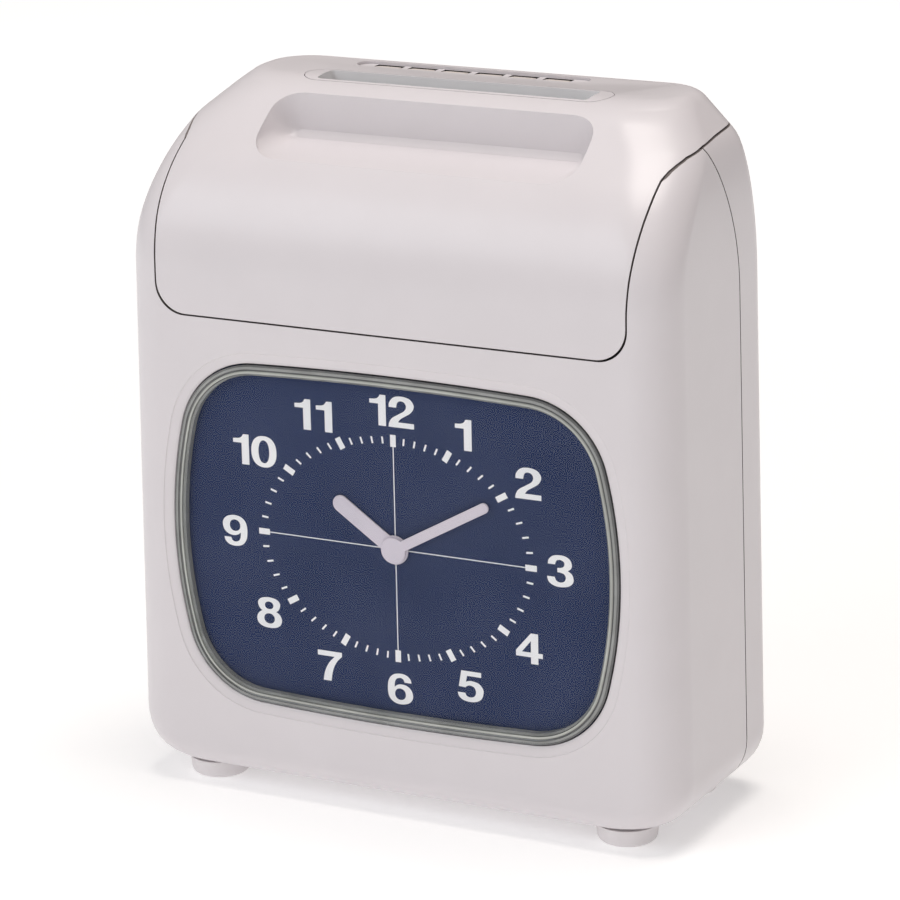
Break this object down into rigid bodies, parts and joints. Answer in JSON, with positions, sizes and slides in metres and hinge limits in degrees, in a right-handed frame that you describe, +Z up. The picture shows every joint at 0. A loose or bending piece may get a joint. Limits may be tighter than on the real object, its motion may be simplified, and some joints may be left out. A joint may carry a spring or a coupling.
{
  "type": "punch time clock",
  "caption": "Desk or wall time recorder: white two-part case, hinged top cover with a card slot and push buttons, navy analogue dial, print head, card feed and power parts.",
  "frame": {"origin": "middle of the footprint, on the surface that the feet stand on", "axes": "+X to the right seen from the dial side, +Y from the dial to the back, +Z up"},
  "size_m": [0.209, 0.0838, 0.2447],
  "materials": {
    "case_plastic": "semi-gloss moulded, warm white",
    "button_plastic": "satin",
    "clear_acrylic": "clear, polished",
    "navy_dial": "satin print",
    "hand_paint": "pale lavender paint",
    "black_plastic": "fine texture",
    "grey_plastic": "fine texture",
    "plated_steel": "zinc plated",
    "bright_steel": "polished",
    "brass": "turned",
    "cast_aluminium": "cast",
    "black_rubber": "matte",
    "ink_ribbon": "woven, inked",
    "circuit_board": "solder mask",
    "battery_sleeve": "shrink sleeve",
    "foot_rubber": "matte, off-white"
  },
  "bodies": {
    "case": {"front_case": "case_plastic", "rear_case": "case_plastic", "dial_lens": "clear_acrylic", "dial_plate": "navy_dial", "movement_housing": "black_plastic", "movement_back": "grey_plastic", "chute_front": "plated_steel", "chute_rear": "plated_steel", "platen_bar": "black_rubber", "feed_motor": "plated_steel", "chassis_floor": "plated_steel", "side_plate_left": "plated_steel", "side_plate_right": "plated_steel", "guide_shaft_front": "bright_steel", "guide_shaft_rear": "bright_steel", "carriage_motor": "plated_steel", "ribbon_cartridge": "black_plastic", "ink_ribbon": "ink_ribbon", "main_board": "circuit_board", "transformer": "plated_steel", "backup_battery": "battery_sleeve", "ac_inlet": "black_plastic", "lock_barrel": "bright_steel", "foot_front_left": "foot_rubber", "foot_front_right": "foot_rubber", "foot_rear_left": "foot_rubber", "foot_rear_right": "foot_rubber", "case_screw_1": "plated_steel", "case_screw_2": "plated_steel", "case_screw_3": "plated_steel", "case_screw_4": "plated_steel", "hinge_pin_left": "bright_steel", "hinge_pin_right": "bright_steel"},
    "cover": {"top_cover": "case_plastic", "card_slot_bezel": "case_plastic", "button_panel": "case_plastic", "button_board": "circuit_board"},
    "minute_group": {"minute_hand": "hand_paint", "minute_arbor": "plated_steel"},
    "motion_group": {"motion_wheel": "brass"},
    "hour_group": {"hour_hand": "hand_paint", "hour_wheel": "brass"},
    "feed_group": {"feed_roller": "black_rubber"},
    "pinch_group": {"pinch_roller": "black_rubber"},
    "feed_pinion_group": {"feed_pinion": "brass"},
    "carriage": {"head_carriage": "black_plastic", "print_head": "cast_aluminium"},
    "screw_group": {"lead_screw": "bright_steel"},
    "carriage_pinion_group": {"carriage_pinion": "brass"},
    "knob_group": {"ribbon_knob": "grey_plastic"},
    "lock_group": {"lock_plug": "brass"},
    "button_1_group": {"button_1": "button_plastic"},
    "button_2_group": {"button_2": "button_plastic"},
    "button_3_group": {"button_3": "button_plastic"},
    "button_4_group": {"button_4": "button_plastic"},
    "button_5_group": {"button_5": "button_plastic"},
    "button_6_group": {"button_6": "button_plastic"}
  },
  "joints": [
    {"name": "cover_hinge", "type": "hinge", "parent": "case", "child": "cover", "pos_m": [0, 0.0394, 0.2356], "axis": [-1, 0, 0], "range_deg": [0, 80]},
    {"name": "minute_turn", "type": "hinge", "parent": "case", "child": "minute_group", "pos_m": [0, -0.03, 0.0955], "axis": [0, 1, 0], "continuous": true},
    {"name": "motion_turn", "type": "hinge", "parent": "case", "child": "motion_group", "pos_m": [0, -0.03, 0.0859], "axis": [0, 1, 0], "continuous": true},
    {"name": "hour_turn", "type": "hinge", "parent": "case", "child": "hour_group", "pos_m": [0, -0.03, 0.0955], "axis": [0, 1, 0], "continuous": true},
    {"name": "feed_turn", "type": "hinge", "parent": "case", "child": "feed_group", "pos_m": [0, 0.0056, 0.137], "axis": [1, 0, 0], "continuous": true},
    {"name": "feed_pinion_turn", "type": "hinge", "parent": "case", "child": "feed_pinion_group", "pos_m": [0.05, -0.00385, 0.137], "axis": [1, 0, 0], "continuous": true},
    {"name": "pinch_turn", "type": "hinge", "parent": "case", "child": "pinch_group", "pos_m": [0, 0.0195, 0.137], "axis": [1, 0, 0], "continuous": true},
    {"name": "carriage_slide", "type": "slide", "parent": "case", "child": "carriage", "axis": [1, 0, 0], "range_m": [-0.035, 0.035]},
    {"name": "screw_turn", "type": "hinge", "parent": "case", "child": "screw_group", "pos_m": [0, -0.016, 0.176], "axis": [1, 0, 0], "range_deg": [-1600, 1600]},
    {"name": "carriage_pinion_turn", "type": "hinge", "parent": "case", "child": "carriage_pinion_group", "pos_m": [0.08, -0.02545, 0.176], "axis": [1, 0, 0], "range_deg": [-3200, 3200]},
    {"name": "ribbon_knob_turn", "type": "hinge", "parent": "case", "child": "knob_group", "pos_m": [0.0645, -0.008, 0.217], "axis": [0, 0, 1], "continuous": true},
    {"name": "lock_turn", "type": "hinge", "parent": "case", "child": "lock_group", "pos_m": [-0.1, -0.012, 0.203], "axis": [1, 0, 0], "range_deg": [0, 90]},
    {"name": "button_1_press", "type": "slide", "parent": "cover", "child": "button_1_group", "axis": [0, 0, -1], "range_m": [0, 0.0015], "stiffness_N_per_m": 300, "springref_m": -0.0015},
    {"name": "button_2_press", "type": "slide", "parent": "cover", "child": "button_2_group", "axis": [0, 0, -1], "range_m": [0, 0.0015], "stiffness_N_per_m": 300, "springref_m": -0.0015},
    {"name": "button_3_press", "type": "slide", "parent": "cover", "child": "button_3_group", "axis": [0, 0, -1], "range_m": [0, 0.0015], "stiffness_N_per_m": 300, "springref_m": -0.0015},
    {"name": "button_4_press", "type": "slide", "parent": "cover", "child": "button_4_group", "axis": [0, 0, -1], "range_m": [0, 0.0015], "stiffness_N_per_m": 300, "springref_m": -0.0015},
    {"name": "button_5_press", "type": "slide", "parent": "cover", "child": "button_5_group", "axis": [0, 0, -1], "range_m": [0, 0.0015], "stiffness_N_per_m": 300, "springref_m": -0.0015},
    {"name": "button_6_press", "type": "slide", "parent": "cover", "child": "button_6_group", "axis": [0, 0, -1], "range_m": [0, 0.0015], "stiffness_N_per_m": 300, "springref_m": -0.0015}
  ],
  "couplings": [
    {"joint": "motion_turn", "follows": "minute_turn", "ratio": -0.33333},
    {"joint": "hour_turn", "follows": "minute_turn", "ratio": 0.083333},
    {"joint": "feed_pinion_turn", "follows": "feed_turn", "ratio": -2},
    {"joint": "screw_turn", "follows": "carriage_slide", "rad_per_m": 785.4},
    {"joint": "carriage_pinion_turn", "follows": "carriage_slide", "rad_per_m": -1570.8}
  ]
}
